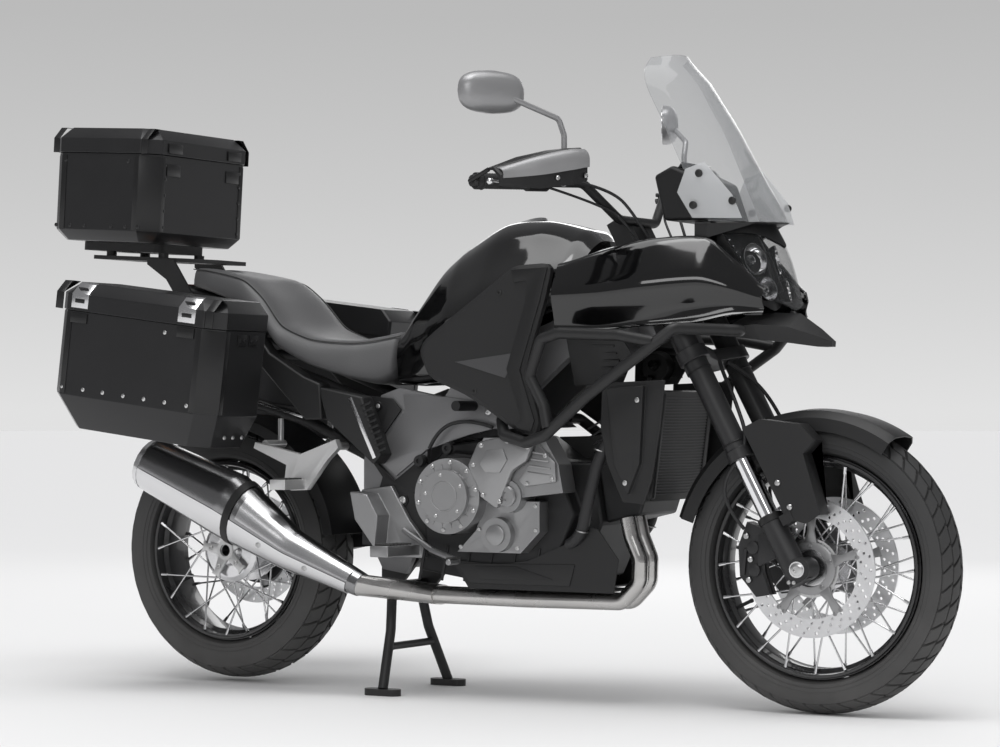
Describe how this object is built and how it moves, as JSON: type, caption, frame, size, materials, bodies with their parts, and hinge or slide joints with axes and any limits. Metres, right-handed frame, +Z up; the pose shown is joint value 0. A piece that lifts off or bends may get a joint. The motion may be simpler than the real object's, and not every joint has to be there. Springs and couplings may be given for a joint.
{
  "type": "adventure motorcycle",
  "caption": "Adventure motorcycle with spoked wheels that turn, a fork that steers, a tall screen, crash bars, folding stands and three metal cases with hinged lids.",
  "frame": {"origin": "on the ground on the centre plane, below the middle of the machine's length", "axes": "+X forward towards the front wheel, +Y to the rider's left, +Z up"},
  "size_m": [2.3774, 1.011, 1.498],
  "materials": {
    "tyre": "matt",
    "rim_black": "satin",
    "hub_alloy": "satin",
    "disc_steel": "brushed",
    "fork_black": "matt",
    "stanchion_chrome": "polished",
    "bar_black": "satin",
    "grip_rubber": "matt",
    "plastic_black": "matt",
    "guard_plastic": "matt",
    "matt_panel": "matt",
    "frame_grey": "satin",
    "swingarm_dark": "satin",
    "engine_dark": "satin",
    "cover_silver": "satin",
    "radiator_black": "satin",
    "pipe_steel": "brushed",
    "silencer_black": "satin",
    "gloss_black": "gloss",
    "lamp_lens": "clear",
    "screen": "clear",
    "seat_vinyl": "matt",
    "tail_lens": "gloss",
    "case_alloy": "satin",
    "shock_steel": "satin",
    "peg_alloy": "satin"
  },
  "bodies": {
    "frame": {"main_frame": "frame_grey", "subframe": "frame_grey", "engine_case": "engine_dark", "cylinder_heads": "engine_dark", "engine_covers": "cover_silver", "belly_pan": "matt_panel", "radiator": "radiator_black", "radiator_cowls": "matt_panel", "exhaust_pipes": "pipe_steel", "silencer": "silencer_black", "fuel_tank": "gloss_black", "tank_side_panels": "matt_panel", "side_fairings": "gloss_black", "nose_fairing": "matt_panel", "headlight": "lamp_lens", "windscreen": "screen", "instrument_panel": "plastic_black", "crash_bars": "bar_black", "seat": "seat_vinyl", "side_covers": "matt_panel", "tail_section": "plastic_black", "tail_light": "tail_lens", "rear_mudguard": "plastic_black", "luggage_rack": "bar_black", "top_case": "case_alloy", "pannier_right": "case_alloy", "pannier_left": "case_alloy", "swingarm": "swingarm_dark", "rear_caliper": "fork_black", "rear_hugger": "plastic_black", "rear_shock": "shock_steel", "footrests": "peg_alloy", "passenger_footrests": "peg_alloy", "stand_brackets": "bar_black"},
    "steering": {"fork_outer_tubes": "fork_black", "fork_sliders": "stanchion_chrome", "fork_bottoms": "fork_black", "front_axle": "hub_alloy", "triple_clamps": "fork_black", "handlebar": "bar_black", "grips": "grip_rubber", "bar_controls": "plastic_black", "hand_guards": "guard_plastic", "mirrors": "plastic_black", "front_mudguard": "matt_panel", "front_calipers": "fork_black"},
    "front_wheel": {"front_tyre": "tyre", "front_rim": "rim_black", "front_hub": "hub_alloy", "front_discs": "disc_steel"},
    "rear_wheel": {"rear_tyre": "tyre", "rear_rim": "rim_black", "rear_hub": "hub_alloy", "rear_disc": "disc_steel"},
    "centre_stand": {"centre_stand": "bar_black"},
    "side_stand": {"side_stand": "bar_black"},
    "top_case_lid": {"top_case_lid": "case_alloy"},
    "pannier_lid_right": {"pannier_lid_right": "case_alloy"},
    "pannier_lid_left": {"pannier_lid_left": "case_alloy"}
  },
  "joints": [
    {"name": "steering", "type": "hinge", "parent": "frame", "child": "steering", "pos_m": [0.959, 0, 0], "axis": [-0.4695, 0, 0.8829], "range_deg": [-30, 30]},
    {"name": "front_wheel_spin", "type": "hinge", "parent": "steering", "child": "front_wheel", "pos_m": [0.852, 0, 0.329], "axis": [0, 1, 0], "continuous": true},
    {"name": "rear_wheel_spin", "type": "hinge", "parent": "frame", "child": "rear_wheel", "pos_m": [-0.743, 0, 0.329], "axis": [0, 1, 0], "continuous": true},
    {"name": "centre_stand_fold", "type": "hinge", "parent": "frame", "child": "centre_stand", "pos_m": [-0.25, 0, 0.25], "axis": [0, 1, 0], "range_deg": [0, 80]},
    {"name": "side_stand_fold", "type": "hinge", "parent": "frame", "child": "side_stand", "pos_m": [-0.06, 0.176, 0.228], "axis": [0, -0.8571, -0.5151], "range_deg": [0, 100]},
    {"name": "top_case_lid_hinge", "type": "hinge", "parent": "frame", "child": "top_case_lid", "pos_m": [-0.8605, 0, 1.31774], "axis": [0, 1, 0], "range_deg": [0, 88]},
    {"name": "pannier_lid_right_hinge", "type": "hinge", "parent": "frame", "child": "pannier_lid_right", "pos_m": [-0.95416, -0.269, 0.92813], "axis": [-0.992, 0, 0.126], "range_deg": [0, 85]},
    {"name": "pannier_lid_left_hinge", "type": "hinge", "parent": "frame", "child": "pannier_lid_left", "pos_m": [-0.95416, 0.269, 0.92813], "axis": [0.992, 0, -0.126], "range_deg": [0, 85]}
  ]
}
